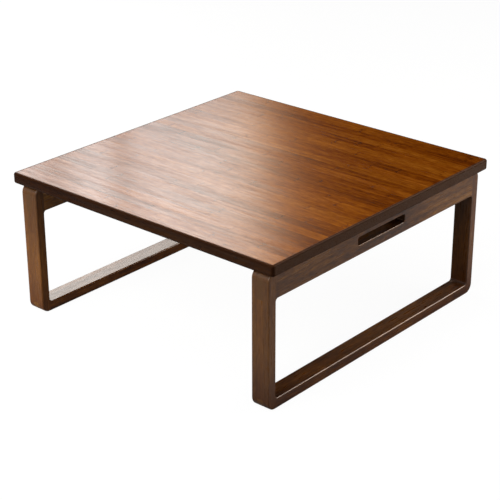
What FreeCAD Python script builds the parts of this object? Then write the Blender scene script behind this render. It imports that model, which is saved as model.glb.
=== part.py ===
import FreeCAD, Part
import math
import os

# Folding low table: a square laminated bamboo top on two sled-shaped leg frames.
# Each frame swings inward on two locking hinges until it lies flat under the top.
# +Z is up, the floor is at Z = 0, X runs along the grain of the top, and the origin
# lies on the floor under the middle of the top. All sizes are in millimetres.

# Table top
TOP_LENGTH = 600.0
TOP_DEPTH = 600.0
TOP_THICKNESS = 20.0
TOP_CORNER_RADIUS = 6.0
TOP_EDGE_EASE = 4.0

# Leg frames: two uprights, a floor runner and a tall top rail, bridle-jointed at the corners
FRAME_HEIGHT = 246.0
FRAME_THICKNESS = 36.0
END_OVERHANG = 14.0
SIDE_OVERHANG = 6.5
UPRIGHT_WIDTH = 18.5
RUNNER_HEIGHT = 18.5
RAIL_HEIGHT = 49.0
FRAME_CORNER_RADIUS = 17.0
WINDOW_CORNER_RADIUS = 5.0
FRAME_EDGE_EASE = 2.5
TENON_THICKNESS = 12.0

# Hand slot in each top rail
SLOT_LENGTH = 131.0
SLOT_HEIGHT = 15.0
SLOT_DROP = 15.5
SLOT_CORNER_RADIUS = 4.0
SLOT_EDGE_EASE = 1.5

# Locking hinges: a bracket under the top, a leaf on the rail, a rivet and a spring lock
HINGE_SPACING = 380.0
SHEET = 2.0
BEND_RADIUS = 1.0
LEAF_WIDTH = 18.0
SIDE_PLAY = 0.3
PIVOT_INSET = 10.5
PIVOT_RADIUS = 2.5
RUNNING_CLEARANCE = 0.05
PLATE_CLEARANCE = 2.4
EAR_FACE_GAP = 2.5
LEAF_EAR_RADIUS = 7.0
BRACKET_EDGE_GAP = 1.0
TONGUE_REACH = 19.0
LEAF_TOP_GAP = 5.0
LEAF_END_GAP = 3.0
TONGUE_TAPER = 1.5
RIVET_HEAD_RADIUS = 4.5
RIVET_HEAD_HEIGHT = 1.6

# Lock: a barrel on the bracket's inner ear and a pull pin that enters the leaf
LOCK_OFFSET = 10.5
LOCK_PIN_RADIUS = 2.0
LOCK_HOLE_CLEARANCE = 0.1
LOCK_WALL = 2.5
LOCK_TRAVEL = 2.7
LOCK_TIP_GAP = 0.2
LOCK_TIP_CHAMFER = 0.4
BARREL_RADIUS = 4.5
BARREL_NECK_RADIUS = 3.2
BARREL_LENGTH = 10.0
BARREL_CHAMFER = 0.8
KNOB_RADIUS = 6.5
KNOB_NECK_RADIUS = 3.4
KNOB_LENGTH = 6.5
KNOB_RIM = 2.0
KNOB_CROWN = 1.2
KNOB_SEAT_GAP = 0.3

# Wood screws of the hinges
SCREW_RADIUS = 1.75
SCREW_LENGTH = 14.0
SCREW_POINT = 3.0
SCREW_HEAD_RADIUS = 3.6
SCREW_HEAD_HEIGHT = 2.2
SCREW_RIM = 0.6
SCREW_HOLE_CLEARANCE = 0.25
PILOT_CLEARANCE = 0.05
BRACKET_SCREW_SPREAD = 4.5
BRACKET_SCREW_INSET = 13.0
CROSS_LENGTH = 4.0
CROSS_WIDTH = 0.9
CROSS_DEPTH = 1.1

# Places that follow from the sizes
V = FreeCAD.Vector
OUTER_FACE_X = TOP_LENGTH / 2 - END_OVERHANG
INNER_FACE_X = OUTER_FACE_X - FRAME_THICKNESS
FRAME_HALF = TOP_DEPTH / 2 - SIDE_OVERHANG
WINDOW_HALF = FRAME_HALF - UPRIGHT_WIDTH
RAIL_BOTTOM = FRAME_HEIGHT - RAIL_HEIGHT
LOCK_EYE_RADIUS = LOCK_PIN_RADIUS + LOCK_HOLE_CLEARANCE + LOCK_WALL
QUADRANT_RADIUS = LOCK_OFFSET + LOCK_EYE_RADIUS
PIVOT_DROP = SHEET + PLATE_CLEARANCE + QUADRANT_RADIUS
BRACKET_EAR_RADIUS = PIVOT_INSET - EAR_FACE_GAP
BRACKET_HALF = LEAF_WIDTH / 2 + SIDE_PLAY + SHEET
LEAF_END = RAIL_HEIGHT - LEAF_END_GAP
TRAVEL_X = V(FRAME_THICKNESS, 0, 0)
NEAR = 0.01


def rounded_rectangle(corner, along, across, length, width, radius):
    """Closed wire of a round-cornered rectangle; along and across are unit vectors."""
    inset = radius * (1 - math.sqrt(0.5))

    def at(a, b):
        return corner + along * a + across * b

    curves = [
        Part.LineSegment(at(radius, 0), at(length - radius, 0)),
        Part.Arc(at(length - radius, 0), at(length - inset, inset), at(length, radius)),
        Part.LineSegment(at(length, radius), at(length, width - radius)),
        Part.Arc(at(length, width - radius), at(length - inset, width - inset), at(length - radius, width)),
        Part.LineSegment(at(length - radius, width), at(radius, width)),
        Part.Arc(at(radius, width), at(inset, width - inset), at(0, width - radius)),
        Part.LineSegment(at(0, width - radius), at(0, radius)),
        Part.Arc(at(0, radius), at(inset, inset), at(radius, 0)),
    ]
    return Part.Wire([curve.toShape() for curve in curves])


def outline(*steps):
    """Closed wire through the steps: a point is reached by a line, a (middle, end) pair by an arc."""
    edges = []
    last = steps[0]
    for step in steps[1:] + (steps[0],):
        if isinstance(step, tuple):
            edges.append(Part.Arc(last, step[0], step[1]).toShape())
            last = step[1]
        else:
            edges.append(Part.LineSegment(last, step).toShape())
            last = step
    return Part.Wire(edges)


def cap_middle(base, apex, radius):
    """Middle (distance, radius) of a spherical cap's arc, from its rim at base to its apex on the axis."""
    height = apex - base
    sphere = (radius ** 2 + height ** 2) / (2 * abs(height))
    half_angle = math.atan2(radius, sphere - abs(height)) / 2
    drop = sphere * (1 - math.cos(half_angle))
    return (apex - math.copysign(drop, height), sphere * math.sin(half_angle))


def prism(wire, travel):
    """Solid swept by a flat closed wire along a vector."""
    return Part.Face(wire).extrude(travel)


def box(low, high):
    """Box between two opposite corners, given in any order."""
    least = V(min(low.x, high.x), min(low.y, high.y), min(low.z, high.z))
    size = V(abs(high.x - low.x), abs(high.y - low.y), abs(high.z - low.z))
    return Part.makeBox(size.x, size.y, size.z, least)


def one_solid(shape):
    """The single solid in a boolean's result."""
    solids = shape.removeSplitter().Solids
    if len(solids) != 1:
        raise ValueError("expected one solid, found %d" % len(solids))
    return solids[0]


def edges_at_x(solid, level, half_width=None):
    """Edges in the plane at X = level, and within half_width of Y = 0 when that is given."""
    found = []
    for edge in solid.Edges:
        bounds = edge.BoundBox
        flat = abs(bounds.XMin - level) < NEAR and abs(bounds.XMax - level) < NEAR
        reach = max(abs(bounds.YMin), abs(bounds.YMax))
        if flat and (half_width is None or reach < half_width + NEAR):
            found.append(edge)
    return found


def table_top():
    """Panel with round corners in plan and eased upper and lower edges."""
    corner = V(-TOP_LENGTH / 2, -TOP_DEPTH / 2, FRAME_HEIGHT)
    plan = rounded_rectangle(corner, V(1, 0, 0), V(0, 1, 0), TOP_LENGTH, TOP_DEPTH, TOP_CORNER_RADIUS)
    panel = prism(plan, V(0, 0, TOP_THICKNESS))
    rims = [edge for edge in panel.Edges if edge.BoundBox.ZLength < NEAR]
    return panel.makeFillet(TOP_EDGE_EASE, rims)


def frame_ring():
    """Right leg frame in one piece, before it is parted at the corner joints."""
    along = V(0, 1, 0)
    up = V(0, 0, 1)
    window_height = RAIL_BOTTOM - RUNNER_HEIGHT
    outer = rounded_rectangle(
        V(INNER_FACE_X, -FRAME_HALF, 0), along, up, 2 * FRAME_HALF, FRAME_HEIGHT, FRAME_CORNER_RADIUS
    )
    window = rounded_rectangle(
        V(INNER_FACE_X, -WINDOW_HALF, RUNNER_HEIGHT), along, up,
        2 * WINDOW_HALF, window_height, WINDOW_CORNER_RADIUS
    )
    ring = prism(outer, TRAVEL_X).cut(prism(window, TRAVEL_X))
    faces = (INNER_FACE_X, OUTER_FACE_X)
    ring = ring.makeFillet(FRAME_EDGE_EASE, [edge for x in faces for edge in edges_at_x(ring, x)])
    slot_corner = V(INNER_FACE_X, -SLOT_LENGTH / 2, FRAME_HEIGHT - SLOT_DROP - SLOT_HEIGHT)
    slot = rounded_rectangle(slot_corner, along, up, SLOT_LENGTH, SLOT_HEIGHT, SLOT_CORNER_RADIUS)
    ring = ring.cut(prism(slot, TRAVEL_X))
    rims = [edge for x in faces for edge in edges_at_x(ring, x, SLOT_LENGTH / 2)]
    return ring.makeFillet(SLOT_EDGE_EASE, rims)


def tenon_zone(end, low, high):
    """Middle layer of a corner at the front (end -1) or rear (end +1), between two heights."""
    middle = (INNER_FACE_X + OUTER_FACE_X) / 2
    half = TENON_THICKNESS / 2
    return box(V(middle - half, end * WINDOW_HALF, low), V(middle + half, end * FRAME_HALF, high))


def upright(ring, end):
    """Upright with an open mortise at each end; the window's round corners belong to it."""
    post = box(V(INNER_FACE_X, end * WINDOW_HALF, 0), V(OUTER_FACE_X, end * FRAME_HALF, FRAME_HEIGHT))
    shoulder = end * (WINDOW_HALF - WINDOW_CORNER_RADIUS)
    swell = box(V(INNER_FACE_X, shoulder, RUNNER_HEIGHT), V(OUTER_FACE_X, end * WINDOW_HALF, RAIL_BOTTOM))
    piece = ring.common(post.fuse(swell))
    piece = piece.cut(tenon_zone(end, 0, RUNNER_HEIGHT))
    return one_solid(piece.cut(tenon_zone(end, RAIL_BOTTOM, FRAME_HEIGHT)))


def cross_bar(ring, low, high):
    """Runner or rail between two heights, with a through tenon at each end."""
    zone = box(V(INNER_FACE_X, -WINDOW_HALF, low), V(OUTER_FACE_X, WINDOW_HALF, high))
    zone = zone.fuse(tenon_zone(-1, low, high)).fuse(tenon_zone(1, low, high))
    return one_solid(ring.common(zone))


class HingePlace:
    """One hinge of the right frame: u runs inward from the rail, v to mid-table, w down from the top."""

    def __init__(self, end):
        self.end = end

    def at(self, u, v, w):
        """Point of the table at hinge distances u, v and w."""
        return V(INNER_FACE_X - u, self.end * (HINGE_SPACING / 2 - v), FRAME_HEIGHT - w)

    def way(self, u, v, w):
        """Direction or travel with hinge parts u, v and w."""
        return V(-u, -self.end * v, -w)

    def rod(self, radius, u, w, first_v, last_v):
        """Cylinder along v."""
        return Part.makeCylinder(radius, last_v - first_v, self.at(u, first_v, w), self.way(0, 1, 0))

    def turned(self, u, w, profile):
        """Solid of revolution about the line along v at u and w; the profile is made of (v, radius) steps."""
        def spot(step):
            if isinstance(step[0], tuple):
                return (spot(step[0]), spot(step[1]))
            return self.at(u, step[0], w + step[1])

        face = Part.Face(outline(*[spot(step) for step in profile]))
        return face.revolve(self.at(u, 0, w), self.way(0, 1, 0), 360)


def hinge_bracket(place):
    """Channel pressed from sheet: a screw tongue under the top and two ears for the rivet."""
    start = BRACKET_EDGE_GAP
    ear_start = PIVOT_INSET - BRACKET_EAR_RADIUS
    lock_u = PIVOT_INSET + LOCK_OFFSET
    ear_end = lock_u + BRACKET_EAR_RADIUS
    depth = PIVOT_DROP + BRACKET_EAR_RADIUS
    finish = ear_end + TONGUE_REACH
    channel = channel_section(BRACKET_HALF, depth, lambda v, d: place.at(start, v, d))
    channel = prism(channel, place.way(finish - start, 0, 0))

    half = math.sqrt(0.5) * BRACKET_EAR_RADIUS
    side = outline(
        place.at(start, -BRACKET_HALF, 0),
        place.at(finish, -BRACKET_HALF, 0),
        place.at(finish, -BRACKET_HALF, SHEET),
        place.at(ear_end, -BRACKET_HALF, SHEET),
        place.at(ear_end, -BRACKET_HALF, PIVOT_DROP),
        (place.at(lock_u + half, -BRACKET_HALF, PIVOT_DROP + half), place.at(lock_u, -BRACKET_HALF, depth)),
        place.at(PIVOT_INSET, -BRACKET_HALF, depth),
        (place.at(PIVOT_INSET - half, -BRACKET_HALF, PIVOT_DROP + half),
         place.at(ear_start, -BRACKET_HALF, PIVOT_DROP)),
        place.at(ear_start, -BRACKET_HALF, SHEET),
        place.at(start, -BRACKET_HALF, SHEET),
    )
    tongue = BRACKET_HALF - SHEET - TONGUE_TAPER
    plan = outline(
        place.at(start, -BRACKET_HALF, 0),
        place.at(ear_end, -BRACKET_HALF, 0),
        place.at(ear_end, -tongue, 0),
        place.at(finish - tongue, -tongue, 0),
        (place.at(finish, 0, 0), place.at(finish - tongue, tongue, 0)),
        place.at(ear_end, tongue, 0),
        place.at(ear_end, BRACKET_HALF, 0),
        place.at(start, BRACKET_HALF, 0),
    )
    piece = channel.common(prism(side, place.way(0, 2 * BRACKET_HALF, 0)))
    piece = piece.common(prism(plan, place.way(0, 0, depth)))
    pivot_hole = PIVOT_RADIUS + RUNNING_CLEARANCE
    piece = piece.cut(place.rod(pivot_hole, PIVOT_INSET, PIVOT_DROP, -BRACKET_HALF, BRACKET_HALF))
    neck_hole = BARREL_NECK_RADIUS + RUNNING_CLEARANCE
    piece = piece.cut(place.rod(neck_hole, lock_u, PIVOT_DROP, 0, BRACKET_HALF))
    for u, v in bracket_screw_spots():
        hole_radius = SCREW_RADIUS + SCREW_HOLE_CLEARANCE
        piece = piece.cut(Part.makeCylinder(hole_radius, SHEET, place.at(u, v, 0), place.way(0, 0, 1)))
    return one_solid(piece)


def channel_section(half, depth, at):
    """U-shaped section of bent sheet: half its width, the depth of its ears, and a (v, depth) placer."""
    outer = BEND_RADIUS + SHEET
    cut = (1 - math.sqrt(0.5))
    return outline(
        at(-half, depth),
        at(-half, outer),
        (at(-half + cut * outer, cut * outer), at(-half + outer, 0)),
        at(half - outer, 0),
        (at(half - cut * outer, cut * outer), at(half, outer)),
        at(half, depth),
        at(half - SHEET, depth),
        at(half - SHEET, outer),
        (at(half - SHEET - cut * BEND_RADIUS, SHEET + cut * BEND_RADIUS), at(half - outer, SHEET)),
        at(-half + outer, SHEET),
        (at(-half + SHEET + cut * BEND_RADIUS, SHEET + cut * BEND_RADIUS), at(-half + SHEET, outer)),
        at(-half + SHEET, depth),
    )


def hinge_leaf(place):
    """Channel pressed from sheet: a screw plate on the rail and two quadrant ears with lock holes."""
    half = LEAF_WIDTH / 2
    lock_u = PIVOT_INSET + LOCK_OFFSET
    reach = PIVOT_INSET + QUADRANT_RADIUS
    low = PIVOT_DROP + QUADRANT_RADIUS
    channel = channel_section(half, reach, lambda v, d: place.at(d, v, LEAF_TOP_GAP))
    channel = prism(channel, place.way(0, 0, LEAF_END - LEAF_TOP_GAP))

    eye = math.sqrt(0.5) * LOCK_EYE_RADIUS
    sweep = math.sqrt(0.5) * QUADRANT_RADIUS
    side = outline(
        place.at(0, -half, LEAF_TOP_GAP),
        place.at(SHEET, -half, LEAF_TOP_GAP),
        place.at(SHEET, -half, PIVOT_DROP - LEAF_EAR_RADIUS),
        place.at(PIVOT_INSET, -half, PIVOT_DROP - LEAF_EAR_RADIUS),
        place.at(lock_u, -half, PIVOT_DROP - LOCK_EYE_RADIUS),
        (place.at(lock_u + eye, -half, PIVOT_DROP - eye), place.at(reach, -half, PIVOT_DROP)),
        (place.at(PIVOT_INSET + sweep, -half, PIVOT_DROP + sweep), place.at(PIVOT_INSET, -half, low)),
        place.at(SHEET, -half, low),
        place.at(SHEET, -half, LEAF_END),
        place.at(0, -half, LEAF_END),
    )
    tongue = half - TONGUE_TAPER
    face = outline(
        place.at(0, -half, LEAF_TOP_GAP),
        place.at(0, half, LEAF_TOP_GAP),
        place.at(0, half, low),
        place.at(0, tongue, low),
        place.at(0, tongue, LEAF_END - tongue),
        (place.at(0, 0, LEAF_END), place.at(0, -tongue, LEAF_END - tongue)),
        place.at(0, -tongue, low),
        place.at(0, -half, low),
    )
    piece = channel.common(prism(side, place.way(0, LEAF_WIDTH, 0)))
    piece = piece.common(prism(face, place.way(reach, 0, 0)))
    pivot_hole = PIVOT_RADIUS + RUNNING_CLEARANCE
    piece = piece.cut(place.rod(pivot_hole, PIVOT_INSET, PIVOT_DROP, -half, half))
    lock_hole = LOCK_PIN_RADIUS + LOCK_HOLE_CLEARANCE
    piece = piece.cut(place.rod(lock_hole, lock_u, PIVOT_DROP, 0, half))
    piece = piece.cut(place.rod(lock_hole, PIVOT_INSET, PIVOT_DROP + LOCK_OFFSET, 0, half))
    for w in leaf_screw_spots():
        hole_radius = SCREW_RADIUS + SCREW_HOLE_CLEARANCE
        piece = piece.cut(Part.makeCylinder(hole_radius, SHEET, place.at(0, 0, w), place.way(1, 0, 0)))
    return one_solid(piece)


def hinge_rivet(place):
    """Rivet through all four ears, with a domed head on each side."""
    crown = BRACKET_HALF + RIVET_HEAD_HEIGHT
    return place.turned(PIVOT_INSET, PIVOT_DROP, [
        (-crown, 0),
        (cap_middle(-BRACKET_HALF, -crown, RIVET_HEAD_RADIUS), (-BRACKET_HALF, RIVET_HEAD_RADIUS)),
        (-BRACKET_HALF, PIVOT_RADIUS),
        (BRACKET_HALF, PIVOT_RADIUS),
        (BRACKET_HALF, RIVET_HEAD_RADIUS),
        (cap_middle(BRACKET_HALF, crown, RIVET_HEAD_RADIUS), (crown, 0)),
    ])


def lock_barrel(place):
    """Turned barrel seated on the ear that faces mid-table, bored for the lock pin."""
    bore = LOCK_PIN_RADIUS + RUNNING_CLEARANCE
    root = BRACKET_HALF - SHEET
    finish = BRACKET_HALF + BARREL_LENGTH
    return place.turned(PIVOT_INSET + LOCK_OFFSET, PIVOT_DROP, [
        (root, bore),
        (root, BARREL_NECK_RADIUS),
        (BRACKET_HALF, BARREL_NECK_RADIUS),
        (BRACKET_HALF, BARREL_RADIUS),
        (finish - BARREL_CHAMFER, BARREL_RADIUS),
        (finish, BARREL_RADIUS - BARREL_CHAMFER),
        (finish, bore),
    ])


def lock_pin(place):
    """Pull pin with a mushroom knob, drawn back clear of the leaf."""
    tip = BRACKET_HALF - SHEET + LOCK_TIP_GAP
    knob = BRACKET_HALF + BARREL_LENGTH + KNOB_SEAT_GAP + LOCK_TRAVEL
    rim = knob + KNOB_LENGTH - KNOB_CROWN
    flare = rim - KNOB_RIM
    bend = math.sqrt(0.5)
    throat = KNOB_RADIUS - KNOB_NECK_RADIUS
    return place.turned(PIVOT_INSET + LOCK_OFFSET, PIVOT_DROP, [
        (tip, 0),
        (tip, LOCK_PIN_RADIUS - LOCK_TIP_CHAMFER),
        (tip + LOCK_TIP_CHAMFER, LOCK_PIN_RADIUS),
        (knob, LOCK_PIN_RADIUS),
        (knob, KNOB_NECK_RADIUS),
        ((knob + bend * (flare - knob), KNOB_RADIUS - bend * throat), (flare, KNOB_RADIUS)),
        (rim, KNOB_RADIUS),
        (cap_middle(rim, rim + KNOB_CROWN, KNOB_RADIUS), (rim + KNOB_CROWN, 0)),
    ])


def bracket_screw_spots():
    """Hinge distances (u, v) of a bracket's three screws."""
    ear_end = PIVOT_INSET + LOCK_OFFSET + BRACKET_EAR_RADIUS
    tongue = BRACKET_HALF - SHEET - TONGUE_TAPER
    pair = ear_end + TONGUE_REACH - tongue - BRACKET_SCREW_INSET
    return [
        (ear_end + TONGUE_REACH - tongue, 0),
        (pair, BRACKET_SCREW_SPREAD),
        (pair, -BRACKET_SCREW_SPREAD),
    ]


def leaf_screw_spots():
    """Hinge distances w of a leaf's two screws: above the pivot and in the round end."""
    above = (LEAF_TOP_GAP + PIVOT_DROP - PIVOT_RADIUS) / 2
    return [above, LEAF_END - LEAF_WIDTH / 2 + TONGUE_TAPER]


def wood_screw(seat, inward, across):
    """Round-head screw whose head sits at seat; the shank runs along inward."""
    def at(depth, radius):
        return seat + inward * depth + across * radius

    dome = cap_middle(-SCREW_RIM, -SCREW_HEAD_HEIGHT, SCREW_HEAD_RADIUS)
    profile = outline(
        at(-SCREW_HEAD_HEIGHT, 0),
        (at(*dome), at(-SCREW_RIM, SCREW_HEAD_RADIUS)),
        at(0, SCREW_HEAD_RADIUS),
        at(0, SCREW_RADIUS),
        at(SCREW_LENGTH - SCREW_POINT, SCREW_RADIUS),
        at(SCREW_LENGTH, 0),
    )
    screw = Part.Face(profile).revolve(seat, inward, 360)
    side = inward.cross(across)
    for long_way, short_way in ((across, side), (side, across)):
        half_long = long_way * (CROSS_LENGTH / 2)
        half_short = short_way * (CROSS_WIDTH / 2)
        floor = seat - inward * (SCREW_HEAD_HEIGHT - CROSS_DEPTH)
        mouth = seat - inward * (SCREW_HEAD_HEIGHT + CROSS_DEPTH)
        screw = screw.cut(box(floor - half_long - half_short, mouth + half_long + half_short))
    return one_solid(screw)


def pilot_hole(seat, inward):
    """Hole in the wood for a screw whose head stands one sheet above the wood."""
    depth = SCREW_LENGTH - SHEET
    return Part.makeCylinder(SCREW_RADIUS + PILOT_CLEARANCE, depth, seat + inward * SHEET, inward)


def half_turn(shape):
    """Copy of a piece of the right frame, turned about Z to the left."""
    copy = shape.copy()
    copy.rotate(V(0, 0, 0), V(0, 0, 1), 180)
    return copy


def right_hand_pieces():
    """Pieces of the right frame and its hinges by plain name, with the screws as lists."""
    ring = frame_ring()
    rail = cross_bar(ring, RAIL_BOTTOM, FRAME_HEIGHT)
    pieces = {
        "front_upright": upright(ring, -1),
        "rear_upright": upright(ring, 1),
        "floor_runner": cross_bar(ring, 0, RUNNER_HEIGHT),
    }
    groups = {"bracket_screws": [], "bracket_pilots": [], "leaf_screws": [], "rivets": []}
    for name, end in (("front", -1), ("rear", 1)):
        place = HingePlace(end)
        pieces[name + "_hinge_bracket"] = hinge_bracket(place)
        pieces[name + "_hinge_leaf"] = hinge_leaf(place)
        pieces[name + "_lock_barrel"] = lock_barrel(place)
        pieces[name + "_lock_pin"] = lock_pin(place)
        groups["rivets"].append(hinge_rivet(place))
        up = place.way(0, 0, -1)
        out = place.way(-1, 0, 0)
        for u, v in bracket_screw_spots():
            seat = place.at(u, v, SHEET)
            groups["bracket_screws"].append(wood_screw(seat, up, out))
            groups["bracket_pilots"].append(pilot_hole(seat, up))
        for w in leaf_screw_spots():
            seat = place.at(SHEET, 0, w)
            groups["leaf_screws"].append(wood_screw(seat, out, up))
            rail = rail.cut(pilot_hole(seat, out))
    pieces["top_rail"] = one_solid(rail)
    return pieces, groups


def save(name, shape):
    """Write one sub-part."""
    shape.exportStep(os.path.join("parts", name + ".step"))


def main():
    os.makedirs("parts", exist_ok=True)
    pieces, groups = right_hand_pieces()
    left_ends = {"front": "rear", "rear": "front"}
    for name, shape in pieces.items():
        save("right_" + name, shape)
        first, _, rest = name.partition("_")
        turned_name = left_ends[first] + "_" + rest if first in left_ends else name
        save("left_" + turned_name, half_turn(shape))

    panel = table_top()
    for pilot in groups["bracket_pilots"]:
        panel = panel.cut(pilot).cut(half_turn(pilot))
    save("table_top", one_solid(panel))

    both_sides = {"bracket_screws": "bracket_screws", "hinge_rivets": "rivets"}
    for name, group in both_sides.items():
        save(name, Part.makeCompound(groups[group] + [half_turn(shape) for shape in groups[group]]))
    save("right_leaf_screws", Part.makeCompound(groups["leaf_screws"]))
    save("left_leaf_screws", Part.makeCompound([half_turn(shape) for shape in groups["leaf_screws"]]))


main()
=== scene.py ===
"""Looks of the folding low table: stained laminated bamboo, plated locking hinges and a plain studio."""

import logging
import math
from dataclasses import dataclass
from enum import Enum
from typing import Any, Sequence, Union

import bpy
import numpy as np
from mathutils import Matrix, Vector

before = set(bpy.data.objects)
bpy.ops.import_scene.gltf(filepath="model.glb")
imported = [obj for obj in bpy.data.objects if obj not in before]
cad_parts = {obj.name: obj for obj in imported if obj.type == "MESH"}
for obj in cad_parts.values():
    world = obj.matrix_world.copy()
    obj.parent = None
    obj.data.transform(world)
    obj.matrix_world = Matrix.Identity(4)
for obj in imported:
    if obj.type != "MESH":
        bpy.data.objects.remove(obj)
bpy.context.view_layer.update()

LOG = logging.getLogger("low_table")

Socket = bpy.types.NodeSocket
Feed = Union[Socket, float, Sequence[float]]
Colour = tuple[float, float, float, float]
Stops = tuple[tuple[float, Colour], ...]


class Side(Enum):
    """The two leg frames, by the end of the table that they carry."""

    LEFT = "left"
    RIGHT = "right"


class End(Enum):
    """The two ends of a leg frame."""

    FRONT = "front"
    REAR = "rear"


class Axis(Enum):
    """An axis of the table, by its place in a vector."""

    X = 0
    Y = 1
    Z = 2


def shade(red: int, green: int, blue: int) -> Colour:
    """Linear colour of a display colour in steps of 0 to 255.

    Args:
        red: Display red.
        green: Display green.
        blue: Display blue.

    Returns:
        Linear red, green and blue, with full alpha.
    """
    steps = np.array([red, green, blue]) / 255.0
    linear = np.where(steps <= 0.04045, steps / 12.92, ((steps + 0.055) / 1.055) ** 2.4)
    return (float(linear[0]), float(linear[1]), float(linear[2]), 1.0)


class Graph:
    """Short way to wire the nodes of one material or world."""

    def __init__(self, tree: bpy.types.NodeTree) -> None:
        """Start on an emptied node tree.

        Args:
            tree: The tree that the nodes go into.
        """
        self.tree = tree
        self.tree.nodes.clear()

    def add(self, kind: str, *feeds: Feed, **settings: Any) -> bpy.types.Node:
        """Add one node.

        Args:
            kind: Blender's name of the node's class.
            feeds: Values or sockets for its first inputs, in order.
            settings: Properties of the node.

        Returns:
            The new node.
        """
        node = self.tree.nodes.new(kind)
        for name, value in settings.items():
            setattr(node, name, value)
        for socket, value in zip(node.inputs, feeds):
            self.feed(socket, value)
        return node

    def feed(self, socket: Socket, value: Feed) -> None:
        """Give an input a link or a value of its own.

        Args:
            socket: The input.
            value: A socket to link from, or the value to set.
        """
        if isinstance(value, bpy.types.NodeSocket):
            self.tree.links.new(value, socket)
        else:
            socket.default_value = value

    def math(self, operation: str, *feeds: Feed, clamp: bool = False) -> Socket:
        """Result of one arithmetic node.

        Args:
            operation: Blender's name of the operation.
            feeds: Its one to three inputs.
            clamp: True to keep the result between 0 and 1.

        Returns:
            The result's socket.
        """
        return self.add("ShaderNodeMath", *feeds, operation=operation, use_clamp=clamp).outputs[0]

    def vector(self, operation: str, *feeds: Feed) -> Socket:
        """Result of one vector arithmetic node.

        Args:
            operation: Blender's name of the operation.
            feeds: Its input vectors.

        Returns:
            The result's socket.
        """
        return self.add("ShaderNodeVectorMath", *feeds, operation=operation).outputs[0]

    def split(self, vector: Socket) -> tuple[Socket, Socket, Socket]:
        """Three parts of a vector.

        Args:
            vector: The vector's socket.

        Returns:
            Sockets of its first, second and third part.
        """
        parts = self.add("ShaderNodeSeparateXYZ", vector).outputs
        return (parts[0], parts[1], parts[2])

    def join(self, first: Feed, second: Feed, third: Feed) -> Socket:
        """Vector of three numbers.

        Args:
            first: Its first part.
            second: Its second part.
            third: Its third part.

        Returns:
            The vector's socket.
        """
        return self.add("ShaderNodeCombineXYZ", first, second, third).outputs[0]

    def noise(self, vector: Socket, stretch: Sequence[float], detail: float = 2.0) -> Socket:
        """Smooth noise from 0 to 1, with a pitch of its own along each axis.

        Args:
            vector: Place in metres.
            stretch: Waves in a metre along each part of the place.
            detail: Octaves of finer noise.

        Returns:
            The noise's socket.
        """
        place = self.vector("MULTIPLY", vector, stretch)
        node = self.add("ShaderNodeTexNoise", place)
        node.inputs["Scale"].default_value = 1.0
        node.inputs["Detail"].default_value = detail
        node.inputs["Roughness"].default_value = 0.55
        return node.outputs[0]

    def fade(self, value: Socket, start: float, end: float) -> Socket:
        """Smooth step from 0 at start to 1 at end, for start below or above end.

        Args:
            value: The number that is stepped.
            start: Where the result is 0.
            end: Where the result is 1.

        Returns:
            The step's socket.
        """
        low, high = min(start, end), max(start, end)
        node = self.add("ShaderNodeMapRange", value, low, high, interpolation_type="SMOOTHSTEP")
        node.inputs[3].default_value = 0.0 if start < end else 1.0
        node.inputs[4].default_value = 1.0 if start < end else 0.0
        return node.outputs[0]

    def ramp(self, value: Socket, stops: Stops) -> Socket:
        """Colour from a row of colour stops.

        Args:
            value: Place in the row, from 0 to 1.
            stops: Pairs of place and colour, in rising order.

        Returns:
            The colour's socket.
        """
        node = self.add("ShaderNodeValToRGB", value)
        elements = node.color_ramp.elements
        for _ in range(len(stops) - len(elements)):
            elements.new(0.5)
        for element, (place, colour) in zip(elements, stops):
            element.position = place
            element.color = colour
        return node.outputs[0]

    def mix(self, share: Feed, first: Feed, second: Feed, blend: str = "MIX") -> Socket:
        """Mix of two colours.

        Args:
            share: Part of the second colour, from 0 to 1.
            first: Colour at share 0.
            second: Colour at share 1.
            blend: Blender's name of the blend.

        Returns:
            The mixed colour's socket.
        """
        node = self.add("ShaderNodeMix", data_type="RGBA", blend_type=blend)
        for index, value in ((0, share), (6, first), (7, second)):
            self.feed(node.inputs[index], value)
        return node.outputs[2]

    def seen_direct(self) -> Socket:
        """Number that is 1 for camera, mirror and see-through rays and 0 for light between surfaces."""
        rays = self.add("ShaderNodeLightPath").outputs
        near = self.math("ADD", rays["Is Camera Ray"], rays["Is Glossy Ray"])
        return self.math("ADD", near, rays["Is Transmission Ray"], clamp=True)


def new_material(name: str) -> tuple[bpy.types.Material, Graph]:
    """Material with an empty node tree.

    Args:
        name: The material's name.

    Returns:
        The material and the graph that wires it.
    """
    material = bpy.data.materials.new(name)
    material.use_nodes = True
    return material, Graph(material.node_tree)


# Noises of the bamboo: waves in a metre along the grain, the stack and the depth
WIDE_FIBRES = (4.0, 150.0, 150.0)
NARROW_FIBRES = (55.0, 260.0, 260.0)
FINE_FIBRES = (70.0, 1500.0, 1500.0)
STAIN_CLOUDS = (2.5, 11.0, 11.0)
END_DOTS = (40.0, 900.0, 900.0)
FLECKS = (30.0, 420.0, 420.0)
COAT_STREAKS = (9.0, 170.0, 170.0)
JOINT_WAVES = (60.0, 150.0, 150.0)
JOINT_BREAKS = (90.0, 300.0, 300.0)
STRIP_DRIFT = (5.0, 1.0, 1.0)

# Shifts that give each strip, and the coat, a stretch of noise of their own
STRIP_SHIFT = (3.0, 3.0, 3.0)
COAT_SHIFT = (5.0, 5.0, 5.0)
CHANCE_SPREAD = 40.0

# Shares of the stain's tone and the blush of the redder strips, and the tint of the painted shade near the
# floor
OWN_TONE = 0.20
DRIFT_TONE = 0.40
WIDE_TONE = 0.40
NARROW_TONE = 0.55
FINE_TONE = 0.30
CLOUD_TONE = 0.20
SEAM_TONE = 0.08
BLUSH = 0.5
BLUSH_FADE = (0.7, 1.4)
FLOOR_SHADE_TINT: Colour = (0.57, 0.47, 0.36, 1.0)

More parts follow.
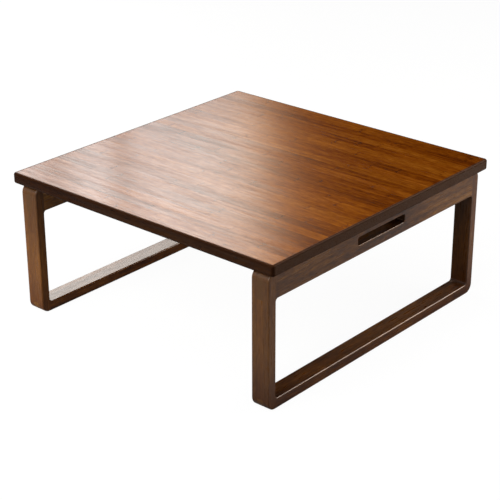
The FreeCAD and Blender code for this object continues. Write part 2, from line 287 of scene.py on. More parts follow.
# Slopes of a face, as parts of its normal, between which one look passes into the next
SIDE_FADE = (0.86, 0.50)
END_FADE = (0.62, 0.86)
RIM_FADE = (0.7, 0.9)
EASED_FADE = (0.998, 0.90)
OUTWARD_FADE = (-0.05, 0.05)

# Lacquer: what strips, cut ends and the painted dark edges add to its roughness, and the relief of the
# fibres
FLECK_FADE = (0.25, 0.75)
STREAK_FADE = (0.3, 0.7)
OWN_DULLING = 0.06
END_DULLING = 0.10
PAINTED_EDGE_DULLING = 0.45
NARROW_RELIEF = 0.8
SEAM_RELIEF = 0.5
RELIEF_HEIGHT = 0.0003
LACQUER_IOR = 1.5

# Seams between strips and joints of the cane, in metres
SEAM_WIDTH = 0.00035
JOINT_SWAY = 0.012
JOINT_HALF = 0.0050
JOINT_LINE_HALF = 0.0014
BREAK_FADE = (0.40, 0.66)

# Noises of the plated steel: waves in a metre along each axis
PLATE_CLOUDS = (160.0, 160.0, 160.0)
PLATE_SPECKS = (2600.0, 2600.0, 2600.0)
PLATE_BRUSHING = (90.0, 3000.0, 3000.0)


@dataclass(frozen=True)
class Lacquer:
    """Satin lacquer over stained bamboo.

    Attributes:
        roughness: Roughness where the lacquer is clearest.
        dulling: Roughness that the duller flecks add.
        gloss: Strength of the sheen on the stain.
        tint: Colour of that sheen.
        relief: Strength of the fibres' relief.
        cover: Mean share of clear coat over the stain, 0 for none.
        swing: How far that share changes from streak to streak.
        cover_roughness: Roughness of the clear coat.
    """

    roughness: float
    dulling: float
    gloss: float
    tint: Colour
    relief: float
    cover: float = 0.0
    swing: float = 0.0
    cover_roughness: float = 0.18


@dataclass(frozen=True)
class Strip:
    """Sockets of one strip.

    Attributes:
        seam: 1 on the glue line between two strips.
        joint: Strength of the mark of a joint of the cane.
        chance: The strip's own three chance numbers.
        band: A tone that drifts along the strip.
    """

    seam: Socket
    joint: Socket
    chance: Socket
    band: Socket


@dataclass(frozen=True)
class BambooFinish:
    """Stained laminated bamboo: strips side by side in layers, with fibres, cane joints and end grain.

    Lengths are in metres.

    Attributes:
        name: The material's name.
        grain: Axis that the fibres run along.
        stack: Axis along which the strips lie next to each other.
        depth: Axis along which the layers lie on each other.
        strip_start: Where the first strip begins.
        strip_width: Width of a strip.
        layer_start: Where the first layer begins.
        layer_height: Height of a layer.
        paired: True to count strips from the middle of the table to both sides.
        face: Colours of the stain, from its deepest tone to its lightest.
        painted_edge_colour: Colour of the painted shade on eased edges and along the panel's rim.
        warm: Tint of the redder strips.
        end_grain: Colours of the cut ends.
        edge_shade: Share of the colour that the sides of the strips keep.
        joint_pitch: Distance between the joints of a cane.
        joint_depth: How far a joint deepens the tone.
        contrast: Spread of the tones about their middle.
        painted_edge_share: Share of painted shade on eased edges.
        painted_edge_outside: Part of that share on edges that face away from the middle along the depth
            axis.
        lacquer: The lacquer over the stain.
        foot: Heights between which painted shade darkens the colour towards the floor.
        rim: Distances from the middle between which painted shade darkens the panel's rim.
    """

    name: str
    grain: Axis
    stack: Axis
    depth: Axis
    strip_start: float
    strip_width: float
    layer_start: float
    layer_height: float
    paired: bool
    face: Stops
    painted_edge_colour: Colour
    warm: Colour
    end_grain: Stops
    edge_shade: float
    joint_pitch: float
    joint_depth: float
    contrast: float
    painted_edge_share: float
    painted_edge_outside: float
    lacquer: Lacquer
    foot: tuple[float, float] = (0.12, 0.0)
    rim: tuple[float, float] = (1.0, 1.1)

    def build(self) -> bpy.types.Material:
        """Wire the finish.

        Returns:
            The finished material.
        """
        material, graph = new_material(self.name)
        texture = graph.add("ShaderNodeTexCoord").outputs
        place = self.canonical(graph, texture["Object"])
        facing = self.canonical(graph, texture["Normal"])
        normal = graph.vector("ABSOLUTE", facing)
        strip = self.strips(graph, place)
        fibres = graph.vector("MULTIPLY_ADD", strip.chance, STRIP_SHIFT, place)
        wide = graph.noise(fibres, WIDE_FIBRES)
        narrow = graph.noise(fibres, NARROW_FIBRES, 3.0)
        fine = graph.noise(fibres, FINE_FIBRES)
        cloud = graph.noise(place, STAIN_CLOUDS)

        own, _, hue = graph.split(strip.chance)
        parts = (
            (own, OWN_TONE), (strip.band, DRIFT_TONE), (wide, WIDE_TONE),
            (narrow, NARROW_TONE), (fine, FINE_TONE), (cloud, CLOUD_TONE),
        )
        tone = self.blend_tones(graph, parts)
        tone = graph.math("SUBTRACT", tone, graph.math("MULTIPLY", strip.joint, self.joint_depth))
        tone = graph.math("SUBTRACT", tone, graph.math("MULTIPLY", strip.seam, SEAM_TONE), clamp=True)
        colour = graph.ramp(tone, self.face)
        # Painted shade: the colour darkens towards the floor.
        floor_shade = graph.fade(graph.split(texture["Object"])[2], *self.foot)
        colour = graph.mix(floor_shade, colour, graph.mix(1.0, colour, FLOOR_SHADE_TINT, "MULTIPLY"))
        blush = graph.math("MULTIPLY", graph.fade(graph.math("ADD", hue, wide), *BLUSH_FADE), BLUSH)
        colour = graph.mix(blush, colour, graph.mix(1.0, colour, self.warm, "MULTIPLY"))

        along, across, deep = graph.split(normal)
        side_share = graph.fade(deep, *SIDE_FADE)
        colour = graph.mix(side_share, colour, graph.mix(1.0, colour, self.grey(), "MULTIPLY"))
        dots = graph.noise(place, END_DOTS, 3.0)
        end_share = graph.fade(along, *END_FADE)
        colour = graph.mix(end_share, colour, graph.ramp(dots, self.end_grain))
        # Painted shade: eased edges and the panel's rim are darkened towards a deep brown, and their
        # lacquer is dulled and thinned.
        flat = graph.math("MAXIMUM", graph.math("MAXIMUM", along, across), deep)
        reach = graph.split(graph.vector("ABSOLUTE", place))
        rim = graph.fade(graph.math("MAXIMUM", reach[0], reach[1]), *self.rim)
        rim = graph.math("MULTIPLY", rim, graph.fade(deep, *RIM_FADE))
        painted_edge = graph.math("MAXIMUM", graph.fade(flat, *EASED_FADE), rim)
        outward = graph.math("MULTIPLY", graph.split(facing)[2], graph.math("SIGN", graph.split(place)[2]))
        outside = graph.math("MULTIPLY", graph.fade(outward, *OUTWARD_FADE), 1.0 - self.painted_edge_outside)
        painted_edge_part = graph.math("SUBTRACT", self.painted_edge_share, graph.math("MULTIPLY", outside, self.painted_edge_share))
        painted_edge = graph.math("MULTIPLY", painted_edge, painted_edge_part)
        colour = graph.mix(painted_edge, colour, self.painted_edge_colour)

        fleck = graph.fade(graph.noise(fibres, FLECKS), *FLECK_FADE)
        dull = graph.math("SUBTRACT", graph.math("ADD", fleck, 1.0), tone)
        rough = graph.math("MULTIPLY_ADD", dull, self.lacquer.dulling, self.lacquer.roughness)
        rough = graph.math("MULTIPLY_ADD", own, OWN_DULLING, rough)
        rough = graph.math("MULTIPLY_ADD", end_share, END_DULLING, rough)
        rough = graph.math("MULTIPLY_ADD", painted_edge, PAINTED_EDGE_DULLING, rough, clamp=True)
        height = graph.math("MULTIPLY_ADD", narrow, NARROW_RELIEF, fine)
        height = graph.math("SUBTRACT", height, graph.math("MULTIPLY", strip.seam, SEAM_RELIEF))
        bump = graph.add("ShaderNodeBump")
        bump.inputs["Strength"].default_value = self.lacquer.relief
        bump.inputs["Distance"].default_value = RELIEF_HEIGHT
        graph.feed(bump.inputs["Height"], height)

        shader = graph.add("ShaderNodeBsdfPrincipled")
        graph.feed(shader.inputs["Base Color"], colour)
        graph.feed(shader.inputs["Roughness"], rough)
        graph.feed(shader.inputs["Normal"], bump.outputs[0])
        shader.inputs["IOR"].default_value = LACQUER_IOR
        shader.inputs["Specular IOR Level"].default_value = self.lacquer.gloss
        shader.inputs["Specular Tint"].default_value = self.lacquer.tint
        if self.lacquer.cover > 0.0:
            self.coat(graph, shader, fibres, painted_edge)
        graph.add("ShaderNodeOutputMaterial", shader.outputs[0])
        return material

    def coat(self, graph: Graph, shader: bpy.types.Node, fibres: Socket, painted_edge: Socket) -> None:
        """Lay a streaky clear coat over the stain, thinner on the painted dark edges.

        Args:
            graph: The graph that is wired.
            shader: The shader that gets the coat.
            fibres: Place along the fibres of a strip.
            painted_edge: Share of painted edge shade.
        """
        streak = graph.noise(graph.vector("ADD", fibres, COAT_SHIFT), COAT_STREAKS, 3.0)
        least = self.lacquer.cover - 0.5 * self.lacquer.swing
        cover = graph.fade(streak, *STREAK_FADE)
        cover = graph.math("MULTIPLY_ADD", cover, self.lacquer.swing, least, clamp=True)
        cover = graph.math("MULTIPLY", cover, graph.math("SUBTRACT", 1.0, painted_edge))
        graph.feed(shader.inputs["Coat Weight"], cover)
        shader.inputs["Coat Roughness"].default_value = self.lacquer.cover_roughness

    def grey(self) -> Colour:
        """Colour that the sides of the strips are darkened by."""
        return (self.edge_shade, self.edge_shade, self.edge_shade, 1.0)

    def canonical(self, graph: Graph, vector: Socket) -> Socket:
        """Vector with its parts along the grain, the stack and the depth, in that order.

        Args:
            graph: The graph that is wired.
            vector: Vector in the table's axes.

        Returns:
            The reordered vector's socket.
        """
        parts = graph.split(vector)
        return graph.join(parts[self.grain.value], parts[self.stack.value], parts[self.depth.value])

    def strips(self, graph: Graph, place: Socket) -> Strip:
        """Part the wood into strips in layers, each with the joints of its cane.

        A strip's joints lie at a steady pitch from a start of the strip's own, along a slightly wavy line.

        Args:
            graph: The graph that is wired.
            place: Place along grain, stack and depth.

        Returns:
            The strip that a place lies in.
        """
        along, stack, depth = graph.split(place)
        distance = graph.math("ABSOLUTE", stack) if self.paired else stack
        count = graph.math("DIVIDE", graph.math("SUBTRACT", distance, self.strip_start), self.strip_width)
        layer = graph.math("DIVIDE", graph.math("SUBTRACT", depth, self.layer_start), self.layer_height)
        side = graph.math("SIGN", stack) if self.paired else 0.0
        key = graph.join(graph.math("FLOOR", count), graph.math("FLOOR", layer), side)
        chance = graph.add("ShaderNodeTexWhiteNoise", key, noise_dimensions="3D").outputs
        middle = graph.math("ABSOLUTE", graph.math("SUBTRACT", graph.math("FRACT", count), 0.5))
        line = SEAM_WIDTH / self.strip_width
        seam = graph.fade(middle, 0.5 - 2.0 * line, 0.5 - 0.5 * line)
        far = graph.math("MULTIPLY", chance["Value"], CHANCE_SPREAD)
        band = graph.noise(graph.join(along, far, far), STRIP_DRIFT, 1.0)

        sway = graph.math("MULTIPLY_ADD", graph.noise(place, JOINT_WAVES, 1.0), JOINT_SWAY, along)
        run = graph.math("ADD", graph.math("DIVIDE", sway, self.joint_pitch), far)
        turn = graph.math("ABSOLUTE", graph.math("SUBTRACT", graph.math("FRACT", run), 0.5))
        near = graph.math("MULTIPLY", turn, self.joint_pitch)
        mark = graph.math("ADD", graph.fade(near, JOINT_HALF, 0.0), graph.fade(near, JOINT_LINE_HALF, 0.0))
        broken = graph.fade(graph.noise(place, JOINT_BREAKS), *BREAK_FADE)
        return Strip(seam, graph.math("MULTIPLY", mark, broken), chance["Color"], band)

    def blend_tones(self, graph: Graph, parts: Sequence[tuple[Socket, float]]) -> Socket:
        """Tone of the stain: the sum of each noise about its middle.

        Args:
            graph: The graph that is wired.
            parts: Pairs of a noise and its weight.

        Returns:
            The tone's socket, about 0.5 in the middle.
        """
        tone: Feed = 0.5 - 0.5 * self.contrast * sum(weight for _, weight in parts)
        for noise, weight in parts:
            tone = graph.math("MULTIPLY_ADD", noise, self.contrast * weight, tone)
        return tone


@dataclass(frozen=True)
class PlatedFinish:
    """Yellow plated steel with a faint cloudy tint and fine handling marks.

    Attributes:
        name: The material's name.
        clear: Colour of clear plate.
        cloudy: Colour of clouded plate.
        worn: Colour of the handling marks.
        roughness: Mean roughness of the plate's brushing.
        wear: Strength of the handling marks.
        brush_dulling: Change of roughness across the brushing.
        cloud_dulling: Roughness that the clouds add.
        relief: Strength of the relief.
        relief_height: Height of the relief, in metres.
    """

    name: str
    clear: Colour
    cloudy: Colour
    worn: Colour
    roughness: float
    wear: float = 0.5
    brush_dulling: float = 0.16
    cloud_dulling: float = 0.10
    relief: float = 0.12
    relief_height: float = 0.0001

    def build(self) -> bpy.types.Material:
        """Wire the finish.

        Returns:
            The finished material.
        """
        material, graph = new_material(self.name)
        place = graph.add("ShaderNodeTexCoord").outputs["Object"]
        cloud = graph.noise(place, PLATE_CLOUDS)
        speck = graph.noise(place, PLATE_SPECKS)
        brush = graph.noise(place, PLATE_BRUSHING)
        colour = graph.mix(graph.fade(cloud, 0.32, 0.68), self.clear, self.cloudy)
        marks = graph.math("MULTIPLY", graph.fade(speck, 0.60, 0.80), self.wear)
        colour = graph.mix(marks, colour, self.worn)
        clearest = self.roughness - 0.5 * self.brush_dulling
        rough = graph.math("MULTIPLY_ADD", brush, self.brush_dulling, clearest)
        rough = graph.math("MULTIPLY_ADD", cloud, self.cloud_dulling, rough)
        bump = graph.add("ShaderNodeBump")
        bump.inputs["Strength"].default_value = self.relief
        bump.inputs["Distance"].default_value = self.relief_height
        graph.feed(bump.inputs["Height"], graph.math("ADD", brush, speck))
        shader = graph.add("ShaderNodeBsdfPrincipled")
        graph.feed(shader.inputs["Base Color"], colour)
        graph.feed(shader.inputs["Roughness"], rough)
        graph.feed(shader.inputs["Normal"], bump.outputs[0])
        shader.inputs["Metallic"].default_value = 1.0
        graph.add("ShaderNodeOutputMaterial", shader.outputs[0])
        return material


@dataclass(frozen=True)
class StudioFloorFinish:
    """Plain pale floor: white to the camera, grey in reflections with a painted shadow under the table, and
    low in bounced light.

    Attributes:
        name: The material's name.
        bounce: Grey of the light that it throws back on the table.
        glow: Light of its own that the camera sees.
        mirror_grey: Grey in reflections, clear of the table.
        shade_grey: Grey of the painted shadow in reflections, under the table.
        shade_fade: Distances from the middle, along the table's sides, between which the two greys pass.
        mirror_glow: Light of its own in reflections.
    """

    name: str = "studio_floor"
    bounce: float = 0.07
    glow: float = 0.95
    mirror_grey: float = 0.50
    shade_grey: float = 0.12
    shade_fade: tuple[float, float] = (0.25, 0.37)
    mirror_glow: float = 0.05

    def build(self) -> bpy.types.Material:
        """Wire the finish.

        Returns:
            The finished material.
        """
        material, graph = new_material(self.name)
        rays = graph.add("ShaderNodeLightPath").outputs
        mirrored = rays["Is Glossy Ray"]
        place = graph.vector("ABSOLUTE", graph.add("ShaderNodeTexCoord").outputs["Object"])
        along, across, _ = graph.split(place)
        # Painted shadow: in reflections the floor is darker under the table.
        clear = graph.fade(graph.math("MAXIMUM", along, across), *self.shade_fade)
        under = self.shade_grey - self.bounce
        tone = graph.math("MULTIPLY_ADD", clear, self.mirror_grey - self.shade_grey, under)
        grey = graph.math("MULTIPLY_ADD", mirrored, tone, self.bounce)
        cover = graph.add("ShaderNodeBsdfDiffuse", graph.join(grey, grey, grey))
        seen = graph.math("ADD", rays["Is Camera Ray"], rays["Is Transmission Ray"], clamp=True)
        strength = graph.math("MULTIPLY", seen, self.glow)
        strength = graph.math("MULTIPLY_ADD", mirrored, self.mirror_glow, strength)
        light = graph.add("ShaderNodeEmission")
        graph.feed(light.inputs["Strength"], strength)
        both = graph.add("ShaderNodeAddShader", cover.outputs[0], light.outputs[0])
        graph.add("ShaderNodeOutputMaterial", both.outputs[0])
        return material


TOP_FINISH = BambooFinish(
    name="stained_bamboo_panel",
    grain=Axis.X, stack=Axis.Y, depth=Axis.Z,
    strip_start=0.0105, strip_width=0.021,
    layer_start=0.2455, layer_height=0.00525, paired=False,
    face=(
        (0.0, shade(62, 23, 0)), (0.30, shade(95, 41, 0)), (0.50, shade(118, 58, 3)),
        (0.70, shade(135, 73, 10)), (1.0, shade(160, 95, 27)),
    ),
    # Deep brown of the painted shade on the panel's eased edges and rim
    painted_edge_colour=shade(38, 19, 9),
    warm=(1.0, 0.90, 0.88, 1.0),
    end_grain=((0.3, shade(44, 24, 11)), (0.7, shade(71, 44, 23))),
    edge_shade=0.16,
    joint_pitch=0.24,
    joint_depth=0.40,
    contrast=1.65,
    painted_edge_share=0.90,
    painted_edge_outside=1.0,
    lacquer=Lacquer(
        roughness=0.05, dulling=0.12, gloss=0.05, tint=(1.0, 0.60, 0.30, 1.0), relief=0.05,
        cover=0.15, swing=0.16,
    ),
    rim=(0.2938, 0.2968),
)

BAR_FACE: Stops = (
    (0.0, shade(38, 14, 2)), (0.30, shade(75, 40, 9)), (0.50, shade(96, 57, 16)),
    (0.70, shade(114, 72, 25)), (1.0, shade(144, 99, 43)),
)
BAR_WARM: Colour = (1.0, 0.88, 0.84, 1.0)
BAR_END: Stops = ((0.3, shade(80, 47, 15)), (0.7, shade(100, 64, 25)))
BAR_LACQUER = Lacquer(roughness=0.18, dulling=0.10, gloss=0.46, tint=(1.0, 0.94, 0.88, 1.0), relief=0.06)

UPRIGHT_FINISH = BambooFinish(
    name="stained_bamboo_upright",
    grain=Axis.Z, stack=Axis.X, depth=Axis.Y,
    strip_start=0.2495, strip_width=0.0123,
    layer_start=-0.35, layer_height=0.1, paired=True,
    # Painted shade darkens the uprights' eased edges that face the window
    face=BAR_FACE, painted_edge_colour=BAR_FACE[0][1], warm=BAR_WARM, end_grain=BAR_END, edge_shade=0.92,
    joint_pitch=0.21, joint_depth=0.10, contrast=1.1, painted_edge_share=0.75, painted_edge_outside=0.0, lacquer=BAR_LACQUER,
)

BAR_FINISH = BambooFinish(
    name="stained_bamboo_bar",
    grain=Axis.Y, stack=Axis.X, depth=Axis.Z,
    strip_start=0.2495, strip_width=0.0123,
    layer_start=-0.05, layer_height=0.1, paired=True,
    face=BAR_FACE, painted_edge_colour=BAR_FACE[0][1], warm=BAR_WARM, end_grain=BAR_END, edge_shade=0.92,
    joint_pitch=0.25, joint_depth=0.10, contrast=2.2, painted_edge_share=0.1, painted_edge_outside=0.0, lacquer=BAR_LACQUER,
)

SHEET_FINISH = PlatedFinish(
    name="plated_sheet_steel",
    clear=shade(208, 176, 104), cloudy=shade(196, 170, 122), worn=shade(170, 160, 138), roughness=0.34,
)
LOCK_FINISH = PlatedFinish(
    name="plated_turned_steel",
    clear=shade(214, 174, 92), cloudy=shade(206, 178, 112), worn=shade(176, 164, 138), roughness=0.24,
)
FASTENER_FINISH = PlatedFinish(
    name="plated_screw_steel",
    clear=shade(200, 168, 98), cloudy=shade(186, 164, 116), worn=shade(150, 142, 124), roughness=0.30,
)


class Finishes:
    """Keeps one material for each finish."""

    def __init__(self) -> None:
        """Start with none made."""
        self.made: dict[str, bpy.types.Material] = {}

    def dress(self, node: str, finish: Union[BambooFinish, PlatedFinish]) -> None:
        """Put a finish on a piece.

        Args:
            node: The piece's name.
            finish: The finish that it gets.
        """
        if finish.name not in self.made:
            self.made[finish.name] = finish.build()
        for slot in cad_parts[node].material_slots:
            slot.material = self.made[finish.name]
        LOG.info("%s: %s", node, finish.name)


@dataclass
class TableTop:
    """The square panel."""

    node: str = "table_top"
    finish: BambooFinish = TOP_FINISH

    def dress(self, finishes: Finishes) -> None:
        """Finish the panel."""
        finishes.dress(self.node, self.finish)


@dataclass
class LegFrame:
    """One sled-shaped frame: two uprights, a floor runner and a top rail."""

    side: Side
    upright_finish: BambooFinish = UPRIGHT_FINISH
    bar_finish: BambooFinish = BAR_FINISH

    def dress(self, finishes: Finishes) -> None:
        """Finish the four bars, each along its own grain."""
        for end in End:
            finishes.dress(f"{self.side.value}_{end.value}_upright", self.upright_finish)
        for bar in ("floor_runner", "top_rail"):
            finishes.dress(f"{self.side.value}_{bar}", self.bar_finish)


@dataclass
class FoldHinge:
    """One locking hinge: bracket, leaf, lock barrel and lock pin."""

    side: Side
    end: End

    def dress(self, finishes: Finishes) -> None:
        """Finish the pressed and the turned pieces."""
        place = f"{self.side.value}_{self.end.value}"
        for piece in ("hinge_bracket", "hinge_leaf"):
            finishes.dress(f"{place}_{piece}", SHEET_FINISH)
        for piece in ("lock_barrel", "lock_pin"):
            finishes.dress(f"{place}_{piece}", LOCK_FINISH)


@dataclass
class Fasteners:
    """Rivets and wood screws of all hinges."""

    nodes: tuple[str, ...] = ("bracket_screws", "hinge_rivets", "left_leaf_screws", "right_leaf_screws")

    def dress(self, finishes: Finishes) -> None:
        """Finish the fasteners."""
        for node in self.nodes:
            finishes.dress(node, FASTENER_FINISH)


def grid_mesh(name: str, points: np.ndarray) -> bpy.types.Object:
    """Surface over a grid of points, with one four-sided face between each four neighbours.

    Args:
        name: The object's name.
        points: Array of rows, columns and the three parts of each point.

    Returns:
        The linked object.
    """
    rows, columns, _ = points.shape
    index = np.arange(rows * columns).reshape(rows, columns)
    faces = np.stack([index[:-1, :-1], index[1:, :-1], index[1:, 1:], index[:-1, 1:]], axis=-1)
    mesh = bpy.data.meshes.new(name)
    mesh.from_pydata(points.reshape(-1, 3).tolist(), [], faces.reshape(-1, 4).tolist())
    made = bpy.data.objects.new(name, mesh)
    bpy.context.scene.collection.objects.link(made)
    return made


WARM_WHITE = (1.0, 0.97, 0.92)
FLAG_BLACK: Colour = (0.01, 0.01, 0.01, 1.0)


@dataclass(frozen=True)
class Softbox:
    """Rectangle of soft light, placed in the view's own directions, in metres.

    Attributes:
        name: The lamp's name.
        right: Place to the view's right.
        away: Place away from the camera.
        height: Place above the floor.
        width: Its level side.
        tall: Its other side.
        level: Its light, where 1 shows white.
        spread: Angle that the light spreads over, in degrees.
        aim: Point that it faces, to the right, away and up.
        tint: Colour of the light.
        mirrored: False for one that lights the table but doesn't show in its lacquer.
    """

    name: str
    right: float
    away: float
    height: float
    width: float
    tall: float
    level: float
    spread: float = 180.0
    aim: tuple[float, float, float] = (0.0, 0.0, 0.2)
    tint: tuple[float, float, float] = (1.0, 1.0, 1.0)
    mirrored: bool = True


@dataclass(frozen=True)
class WindowCard:
    """Window with a thin curtain at its right, mirrored in the top.

    Attributes:
        away: Metres beyond the middle of the table.
        rights: Its two sides, in metres to the view's right.
        heights: Its lower and upper side.
        low_fade: Heights between which its light rises.
        high_fade: Heights between which its light falls off.
        level: Strength of its light.
        points: Points along each side of its grid.
        glass: Share of the level at places to the view's right, in metres.
    """

    away: float = 2.0
    rights: tuple[float, float] = (-1.3, 0.7)
    heights: tuple[float, float] = (0.3, 2.4)
    low_fade: tuple[float, float] = (0.45, 1.25)
    high_fade: tuple[float, float] = (2.3, 1.6)
    level: float = 10.2
    points: int = 5
    glass: Stops = (
        (-0.72, (1.00, 0.97, 0.94, 1.0)), (-0.65, (0.58, 0.53, 0.48, 1.0)),
        (-0.62, (0.58, 0.53, 0.48, 1.0)), (-0.55, (1.10, 1.09, 1.07, 1.0)),
        (-0.46, (1.10, 1.08, 1.05, 1.0)), (-0.43, (0.36, 0.31, 0.26, 1.0)),
        (-0.41, (0.36, 0.31, 0.26, 1.0)), (-0.38, (0.94, 0.93, 0.91, 1.0)),
        (-0.10, (0.95, 0.91, 0.85, 1.0)), (-0.02, (0.92, 0.78, 0.65, 1.0)),
        (0.05, (0.51, 0.37, 0.25, 1.0)), (0.12, (0.22, 0.13, 0.07, 1.0)),
        (0.19, (0.08, 0.04, 0.016, 1.0)), (0.30, (0.03, 0.013, 0.003, 1.0)),
        (0.60, (0.0, 0.0, 0.0, 1.0)),
    )

    def build(self) -> bpy.types.Object:
        """Make the card in its own plane: right along its first axis and height along its second.

        Returns:
            The card, still in its own axes.
        """
        sides = (np.linspace(*self.rights, self.points), np.linspace(*self.heights, self.points))
        across, tall = np.meshgrid(*sides, indexing="ij")
        card = grid_mesh("window_card", np.stack([across, tall, np.zeros_like(across)], axis=-1))
        material, graph = new_material("window_card")
        right, height, _ = graph.split(graph.add("ShaderNodeTexCoord").outputs["Object"])
        start, span = self.rights[0], self.rights[1] - self.rights[0]
        share = graph.math("DIVIDE", graph.math("SUBTRACT", right, start), span)
        stops = tuple(((place - start) / span, colour) for place, colour in self.glass)
        glow = graph.add("ShaderNodeEmission", graph.ramp(share, stops))
        rise, fall = graph.fade(height, *self.low_fade), graph.fade(height, *self.high_fade)
        strength = graph.math("MULTIPLY", graph.math("MULTIPLY", rise, fall), self.level)
        graph.feed(glow.inputs["Strength"], strength)
        graph.add("ShaderNodeOutputMaterial", glow.outputs[0])
        card.data.materials.append(material)
        return card


@dataclass(frozen=True)
class EdgeCard:
    """Bright square card, mirrored in eased edges as a line of light.

    Attributes:
        half: Half of its side, in metres.
        points: Points along each side of its grid.
        level: Strength of its light.
        tint: Colour of its light.
        place: Metres to the view's right, away from the camera and up.
        aim: Point of the table's axes that it faces.
    """

    half: float = 0.6
    points: int = 3
    level: float = 12.0
    tint: Colour = (1.0, 0.93, 0.86, 1.0)
    place: tuple[float, float, float] = (1.53, 0.49, 1.25)
    aim: tuple[float, float, float] = (0.27, 0.0, 0.05)

    def build(self) -> bpy.types.Object:
        """Make the card in its own plane: a square grid of points about its middle.

        Returns:
            The card, still in its own axes.
        """
        ways = np.linspace(-self.half, self.half, self.points)
        across, tall = np.meshgrid(ways, ways, indexing="ij")
        card = grid_mesh("edge_card", np.stack([across, tall, np.zeros_like(across)], axis=-1))
        material, graph = new_material("edge_card")
        glow = graph.add("ShaderNodeEmission", self.tint)
        glow.inputs["Strength"].default_value = self.level
        graph.add("ShaderNodeOutputMaterial", glow.outputs[0])
        card.data.materials.append(material)
        return card


@dataclass
class Studio:
    """Camera, floor, lights and surround; right and away are the level directions of the view.

    Lengths are in metres and angles in radians, apart from the lens, which is in pixels and millimetres.
    """

    azimuth: float = math.radians(40.992)
    elevation: float = math.radians(24.562)
    roll: float = math.radians(-0.173)
    aim: tuple[float, float, float] = (0.02366, -0.03545, 0.12)
    distance: float = 2.65314
    focal_pixels: float = 1479.69
    frame_pixels: float = 500.0
    sensor: float = 36.0
    ambient: float = 0.04
    floor_half: float = 40.0
    floor_gap: float = 0.0004
    floor_points: int = 9
    flag_points: tuple[int, int] = (25, 5)
    flag_reach: float = 3.2
    flag_turn: tuple[float, float] = (math.radians(1.0), math.radians(115.0))
    flag_height: tuple[float, float] = (0.02, 9.0)
    boxes: tuple[Softbox, ...] = (
        Softbox("overhead_box", -0.30, 0.10, 2.30, 2.00, 2.00, 1.6),
        Softbox("front_box", -1.40, -1.90, 2.00, 1.80, 1.80, 6.0),
        Softbox("right_box", 2.20, 0.30, 0.42, 1.60, 0.70, 13.2, tint=WARM_WHITE, mirrored=False),
        Softbox("back_left_box", -1.60, 1.90, 0.70, 1.60, 0.70, 7.0, tint=WARM_WHITE, mirrored=False),
        Softbox(
            "left_leg_box", -1.12, -0.75, 0.13, 0.40, 0.22, 2.1,
            spread=34.0, aim=(-0.39, -0.04, -0.02), tint=(1.0, 0.99, 0.78), mirrored=False,
        ),
    )
    window: WindowCard = WindowCard()
    edge_card: EdgeCard = EdgeCard()

    def way(self, right: float, away: float, height: float) -> Vector:
        """Point or direction of the table's axes.

        Args:
            right: Metres to the view's right.
            away: Metres away from the camera, level.
            height: Metres up.

        Returns:
            The vector.
        """
        cos, sin = math.cos(self.azimuth), math.sin(self.azimuth)
        return Vector((right * cos - away * sin, right * sin + away * cos, height))

    def spread(self, rights: np.ndarray, aways: np.ndarray, heights: np.ndarray) -> np.ndarray:
        """Points of the table's axes for whole arrays of view directions.

        Args:
            rights: Metres to the view's right.
            aways: Metres away from the camera, level.
            heights: Metres up.

        Returns:
            Array with the three parts of each point last.
        """
        cos, sin = math.cos(self.azimuth), math.sin(self.azimuth)
        return np.stack([rights * cos - aways * sin, rights * sin + aways * cos, heights], axis=-1)

    def build(self) -> None:
        """Make the whole studio."""
        self.make_camera()
        self.make_floor()
        self.make_flag()
        self.make_window()
        self.make_edge_card()
        self.make_world()
        for box in self.boxes:
            self.make_box(box)
        bpy.context.scene.view_settings.view_transform = "Standard"

    def make_camera(self) -> None:
        """Camera at the photograph's place, from its angles, distance and focal length in pixels."""
        lens = bpy.data.cameras.new("view_camera")
        lens.sensor_width = self.sensor
        lens.lens = self.focal_pixels / self.frame_pixels * self.sensor
        level = math.cos(self.elevation)
        back = self.way(0.0, -level, math.sin(self.elevation))
        right = self.way(1.0, 0.0, 0.0)
        up = back.cross(right)
        turned_right = right * math.cos(self.roll) + up * math.sin(self.roll)
        turned_up = up * math.cos(self.roll) - right * math.sin(self.roll)
        camera = bpy.data.objects.new("view_camera", lens)
        axes = Matrix((turned_right, turned_up, back)).transposed().to_4x4()
        camera.matrix_world = Matrix.Translation(Vector(self.aim) + back * self.distance) @ axes
        bpy.context.scene.collection.objects.link(camera)
        bpy.context.scene.camera = camera

    def make_floor(self) -> None:
        """Wide level floor just under the runners: a square grid of points at one height."""
        ways = np.linspace(-self.floor_half, self.floor_half, self.floor_points)
        across, deep = np.meshgrid(ways, ways, indexing="ij")
        floor = grid_mesh("floor", np.stack([across, deep, np.full_like(across, -self.floor_gap)], axis=-1))
        floor.data.materials.append(StudioFloorFinish().build())

    def make_window(self) -> None:
        """Stand the window card beyond the table, where only reflections show it."""
        card = self.window.build()
        right, up, front = self.way(1.0, 0.0, 0.0), Vector((0.0, 0.0, 1.0)), self.way(0.0, -1.0, 0.0)
        axes = Matrix((right, up, front)).transposed()
        card.matrix_world = Matrix.Translation(self.way(0.0, self.window.away, 0.0)) @ axes.to_4x4()
        self.only_mirrored(card)

    def make_edge_card(self) -> None:
        """Hang the edge card at the upper right, where only reflections show it."""
        card = self.edge_card.build()
        place = self.way(*self.edge_card.place)
        facing = (Vector(self.edge_card.aim) - place).to_track_quat("-Z", "Y")
        card.matrix_world = Matrix.Translation(place) @ facing.to_matrix().to_4x4()
        self.only_mirrored(card)

    def only_mirrored(self, piece: bpy.types.Object) -> None:
        """Keep a piece of the studio to reflections.

        Args:
            piece: The flag or card.
        """
        piece.visible_camera = False
        piece.visible_diffuse = False
        piece.visible_shadow = False
        piece.visible_transmission = False

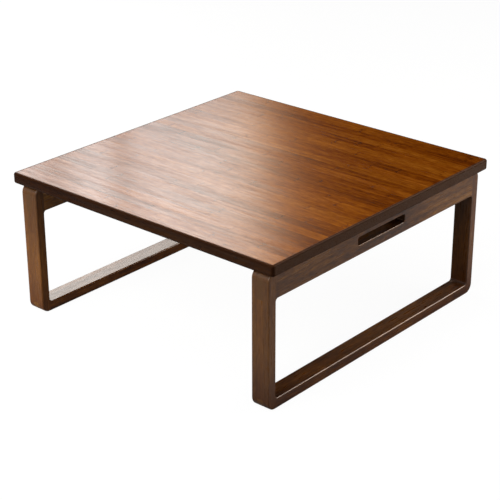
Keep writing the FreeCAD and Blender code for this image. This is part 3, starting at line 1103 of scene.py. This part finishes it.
    def make_flag(self) -> None:
        """Dark curved flag beyond the table's right, which keeps that side of it deep in reflections.

        Points lie at flag_reach from the middle of the floor, at turns from straight away to the right.
        """
        columns, rows = self.flag_points
        sides = (np.linspace(*self.flag_turn, columns), np.linspace(*self.flag_height, rows))
        turns, heights = np.meshgrid(*sides, indexing="ij")
        rights, aways = self.flag_reach * np.sin(turns), self.flag_reach * np.cos(turns)
        flag = grid_mesh("dark_flag", self.spread(rights, aways, heights))
        material, graph = new_material("dark_flag")
        cover = graph.add("ShaderNodeBsdfDiffuse", FLAG_BLACK)
        graph.add("ShaderNodeOutputMaterial", cover.outputs[0])
        flag.data.materials.append(material)
        self.only_mirrored(flag)

    def make_world(self) -> None:
        """White surround to the camera and in reflections, and a lower even light on the surfaces."""
        world = bpy.data.worlds.new("studio")
        world.use_nodes = True
        graph = Graph(world.node_tree)
        level = graph.math("MULTIPLY_ADD", graph.seen_direct(), 1.0 - self.ambient, self.ambient)
        sky = graph.add("ShaderNodeBackground")
        graph.feed(sky.inputs["Strength"], level)
        sky.inputs["Color"].default_value = (1.0, 1.0, 1.0, 1.0)
        graph.add("ShaderNodeOutputWorld", sky.outputs[0])
        bpy.context.scene.world = world

    def make_box(self, box: Softbox) -> None:
        """One soft light that faces the table.

        Args:
            box: Its place, sides and level; a level of 1 shows white.
        """
        light = bpy.data.lights.new(box.name, "AREA")
        light.shape = "RECTANGLE"
        light.size = box.width
        light.size_y = box.tall
        light.energy = box.level * math.pi * box.width * box.tall
        light.spread = math.radians(box.spread)
        light.color = box.tint
        lamp = bpy.data.objects.new(box.name, light)
        place = self.way(box.right, box.away, box.height)
        facing = (self.way(*box.aim) - place).to_track_quat("-Z", "Y")
        lamp.matrix_world = Matrix.Translation(place) @ facing.to_matrix().to_4x4()
        lamp.visible_camera = False
        lamp.visible_glossy = box.mirrored
        bpy.context.scene.collection.objects.link(lamp)


def main() -> None:
    """Dress the table, one sub-assembly after another, and set up the studio."""
    logging.basicConfig(level=logging.INFO, format="%(message)s")
    finishes = Finishes()
    assemblies = [TableTop()]
    assemblies += [LegFrame(side) for side in Side]
    assemblies += [FoldHinge(side, end) for side in Side for end in End]
    assemblies.append(Fasteners())
    for assembly in assemblies:
        assembly.dress(finishes)
    Studio().build()


if __name__ == "__main__":
    main()
